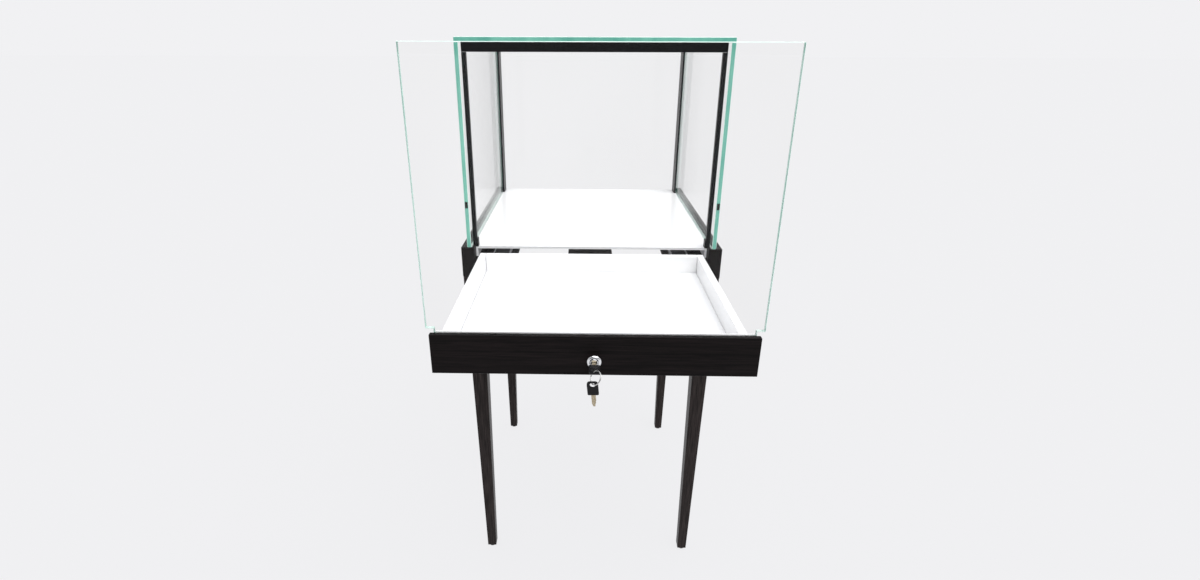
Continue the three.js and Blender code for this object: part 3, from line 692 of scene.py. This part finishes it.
# ---- lock ----------------------------------------------------------------------------------------
housing = turned("lock_barrel", LOCK, [
    (5.8 * MM, -1.9 * MM), (6.1 * MM, -2.2 * MM), (6.9 * MM, -2.2 * MM), (7.9 * MM, -1.98 * MM),
    (8.8 * MM, -1.5 * MM), (9.5 * MM, -0.9 * MM), (9.85 * MM, -0.45 * MM), (9.85 * MM, -0.3 * MM),
    (8.0 * MM, -0.3 * MM), (8.0 * MM, 21 * MM), (5.8 * MM, 21 * MM), (5.8 * MM, -1.9 * MM)],
    segments=64, closed=True)
smooth(housing, 30)
put_in(housing, "drawer", chrome, "lock_housing")

PLUG_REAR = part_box("lock_plug")[1].y - LOCK.y
plug = turned("lock_cylinder", LOCK, [
    (4.2 * MM, -2.1 * MM), (4.5 * MM, -2.6 * MM), (5.1 * MM, -2.6 * MM), (5.5 * MM, -2.2 * MM),
    (5.5 * MM, PLUG_REAR)], segments=64)
carve(plug, block("key_way", LOCK + Vector((-3.7, -4, -1.15)) * MM,
                  LOCK + Vector((3.7, 16.4, 1.15)) * MM))
smooth(plug, 30)
put_in(plug, "lock_and_key", chrome, "lock_plug")

screw_low, screw_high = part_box("cam_screw")
screw_front, screw_rear = screw_low.y - LOCK.y, screw_high.y - LOCK.y
head_front = screw_rear - 2.2 * MM
screw = turned("cam_fixing_screw", LOCK, [
    (1.2 * MM, screw_front), (1.6 * MM, screw_front + 0.5 * MM), (1.6 * MM, head_front),
    (3.9 * MM, head_front), (4.0 * MM, head_front + 0.2 * MM), (4.0 * MM, head_front + 1.2 * MM),
    (3.4 * MM, screw_rear - 0.4 * MM), (2.0 * MM, screw_rear)], segments=32)
slot_half = Vector((2.2, 0.9, 0.35)) * MM
for turn in (0, math.pi / 2):
    slot_cut = block("driver_slot", -slot_half, slot_half)
    slot_cut.data.transform(Matrix.Translation((LOCK.x, screw_high.y, LOCK.z))
                            @ Matrix.Rotation(turn, 4, "Y"))
    carve(screw, slot_cut)
smooth(screw, 30)
put_in(screw, "lock_and_key", zinc, "cam_screw")

# ---- keys ----------------------------------------------------------------------------------------
head_low, head_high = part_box("key_head")
blade_low, blade_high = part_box("key_blade")
KEY_HOLE = 3.7 * MM
KEY_HOLE_EDGE = 5 * MM          # from the head's end to the middle of its hole
hole = Vector((LOCK.x, head_low.y + KEY_HOLE_EDGE, LOCK.z))
head = block("key_bow", head_low, head_high)
open_up(head)
choose(head, lambda mid, run: abs(run.z) > 1 * MM and mid.y < hole.y, "edges")
bpy.ops.mesh.bevel(offset=4 * MM, segments=6, affect="EDGES")
choose(head, lambda mid, run: abs(run.z) > 1 * MM and mid.y > head_high.y - NEARLY, "edges")
bpy.ops.mesh.bevel(offset=1.5 * MM, segments=2, affect="EDGES")
let_go()
carve(head, drill("bow_hole", KEY_HOLE, hole, 10 * MM))
for up in (-1, 1):
    label = block("label_recess", (-4.6 * MM, head_high.y - 10.5 * MM, -0.25 * MM),
                  (4.6 * MM, head_high.y - 3 * MM, 0.25 * MM))
    soften(label, 0.2 * MM, 1)
    face = LOCK.z + up * (head_high.z - LOCK.z)
    label.data.transform(Matrix.Translation((LOCK.x, 0, face)))
    carve(head, label)
soften(head, 0.3 * MM)
CUT_START = 9                   # millimetres back from the blade's tip
CUTS = {7.5: 2.0, 6: 2.6, 4: 1.8, 0: 1.2}       # millimetres back: half the blade's width there
blade = block("key_shank", blade_low, blade_high)
open_up(blade)
score("Y", *(blade_high.y - back * MM for back in (CUT_START, *CUTS) if back))
for back, half in CUTS.items():
    cut = blade_high.y - back * MM
    choose(blade, lambda place, facing: place.x > 0 and abs(place.y - cut) < NEARLY, "verts")
    bpy.ops.transform.translate(value=(half * MM - blade_high.x, 0, 0))
choose(blade, lambda place, facing: place.x < 0 and abs(place.y - blade_high.y) < NEARLY, "verts")
bpy.ops.transform.translate(value=(1.8 * MM, 0, 0))
choose(blade, lambda mid, facing: abs(facing.z) > 0.9)
bpy.ops.mesh.inset(thickness=0.7 * MM, depth=-0.25 * MM)
let_go()
soften(blade, 0.12 * MM, 1)

SPARE_LEAN, SPARE_TURN = -0.1, -0.12    # the spare key hangs a little askew, about Y and about Z
spare_swing = next(joint for joint in frame["joints"] if joint["name"] == "spare_key_swing")
askew = Euler((-math.pi / 2, SPARE_LEAN, SPARE_TURN), "XZY").to_matrix().to_4x4()
hang = Matrix.Translation(Vector(spare_swing["pos_m"])) @ askew @ Matrix.Translation(-hole)
spare_head = copied(head, "spare_key_bow", hang)
spare_blade = copied(blade, "spare_key_shank", hang)
put_in(head, "lock_and_key", key_plastic, "key_head")
put_in(blade, "lock_and_key", key_metal, "key_blade")
put_in(spare_head, "spare_key", key_plastic, "spare_key_head")
put_in(spare_blade, "spare_key", key_metal, "spare_key_blade")

# ---- split ring: two flat coils side by side -----------------------------------------------------
ring_low, ring_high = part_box("split_ring")
ring_middle = (ring_low + ring_high) / 2
RING_RADIUS = 9.4 * MM
COIL = 0.4 * MM                 # half a coil's thickness
COIL_FLATNESS = (1.7, 1, 0.95)
RING_FACING = Vector((-0.726, -0.456, 0.514)).normalized()
let_go()
bpy.ops.mesh.primitive_circle_add(
    vertices=14, radius=COIL, location=(RING_RADIUS, 0, COIL), rotation=(math.pi / 2, 0, 0))
ring = new_from_primitive("key_split_ring")
open_up(ring, "EDGE")
bpy.ops.mesh.select_all(action="SELECT")
bpy.ops.transform.resize(value=COIL_FLATNESS, center_override=(RING_RADIUS, 0, COIL))
bpy.ops.mesh.spin(steps=72, angle=2 * math.pi, center=(0, 0, 0), axis=(0, 0, 1))
tidy_shell(ring)
second_coil = copied(ring, "second_coil", Matrix.Translation((0, 0, -2 * COIL)))
pick_up(ring)
second_coil.select_set(True)
bpy.ops.object.join()
turned_to_face = RING_FACING.to_track_quat("Z", "Y").to_matrix().to_4x4()
ring.data.transform(Matrix.Translation(ring_middle) @ turned_to_face)
smooth(ring, 60)
put_in(ring, "key_ring", ring_steel, "split_ring")

# ---- finishes of the CAD nodes that stay ---------------------------------------------------------
stays = {
    painted_board: ("front_cross_rail", "left_slide_board", "centre_board", "right_slide_board"),
    laminate_deep: ("deck_board", "left_deck_cleat", "right_deck_cleat"),
    slide_steel: ("left_slide_cabinet_member", "left_slide_drawer_member",
                  "right_slide_cabinet_member", "right_slide_drawer_member"),
    steel_in_painted_shade: ("left_slide_middle_member", "right_slide_middle_member"),
    zinc: ("strike_plate", "lock_nut", "lock_cam", *(f"{corner}_leg_bolt" for corner in corners)),
}
for finish, nodes in stays.items():
    for node in nodes:
        materials = frame["nodes"][node].data.materials
        materials.clear()
        materials.append(finish)

# ---- floor and light -----------------------------------------------------------------------------
STUDIO = (0.880, 0.880, 0.896)  # the tone of the floor and of the sky
ROOM = 0.22                     # how bright the room behind the shopper is beside the sky
LAMP = 2.5
LAMP_FACING = (-0.25, 0.4, -0.887)
LAMP_SHARE = LAMP * math.sin(math.radians(62)) / math.pi    # what it adds to a white floor
BACKLIGHT = 0.92                # how much of the floor's tone is its own glow, for faint shadows
FLOOR, FLOOR_MIDDLE, FLOOR_SPREAD = 6, 3, 14
let_go()
bpy.ops.mesh.primitive_circle_add(vertices=96, radius=FLOOR, fill_type="NGON")
floor = new_from_primitive("studio_floor")
open_up(floor)
bpy.ops.mesh.select_all(action="SELECT")
bpy.ops.mesh.inset(thickness=FLOOR - FLOOR_MIDDLE)
choose(floor, lambda mid, run: mid.length > 0.98 * FLOOR, "edges")
pull((0, 0, 0))
bpy.ops.transform.resize(value=(FLOOR_SPREAD, FLOOR_SPREAD, 1), center_override=(0, 0, 0))
let_go()
paper, tree, shader = new_finish("pale_studio_paper", roughness=1.0, specular=0.0)
fibres = cloudy(tree, object_places(tree), 3.0, detail=2)
paper_tone = tuple(tone * (1 - BACKLIGHT) / (tone + LAMP_SHARE) for tone in STUDIO)
shade = tuple(tone * 0.99 for tone in paper_tone)
tree.links.new(tinted(tree, fibres, [(0.3, shade), (0.7, paper_tone)]), shader.inputs["Base Color"])
shader.inputs["Emission Color"].default_value = (*STUDIO, 1)
shader.inputs["Emission Strength"].default_value = BACKLIGHT
floor.data.materials.append(paper)

# The sky looks even, and gloss and chrome pick up a dim room behind the shopper.
world = bpy.data.worlds.new("soft_studio")
bpy.context.scene.world = world
world.use_nodes = True
sky = world.node_tree
heading = sky.nodes.new("ShaderNodeTexCoord")
parts = sky.nodes.new("ShaderNodeSeparateXYZ")
to_amount = sky.nodes.new("ShaderNodeMapRange")
sky.links.new(heading.outputs["Generated"], parts.inputs["Vector"])
sky.links.new(parts.outputs["Y"], to_amount.inputs["Value"])
to_amount.inputs["From Min"].default_value = -1.0
dim = tuple(tone * ROOM for tone in STUDIO)
room = tinted(sky, to_amount.outputs["Result"], [(0.12, dim), (0.42, STUDIO)])
seen = sky.nodes.new("ShaderNodeLightPath")
choice = sky.nodes.new("ShaderNodeMix")
choice.data_type = "RGBA"
choice.inputs[7].default_value = (*STUDIO, 1)
sky.links.new(seen.outputs["Is Camera Ray"], choice.inputs["Factor"])
sky.links.new(room, choice.inputs[6])
sky.links.new(choice.outputs[2], sky.nodes["Background"].inputs["Color"])

lamp = bpy.data.lights.new("high_soft_lamp", "SUN")
lamp.energy = LAMP
lamp.angle = math.radians(70)
stand = bpy.data.objects.new("high_soft_lamp", lamp)
bpy.context.scene.collection.objects.link(stand)
stand.rotation_euler = Vector(LAMP_FACING).to_track_quat("-Z", "Y").to_euler()
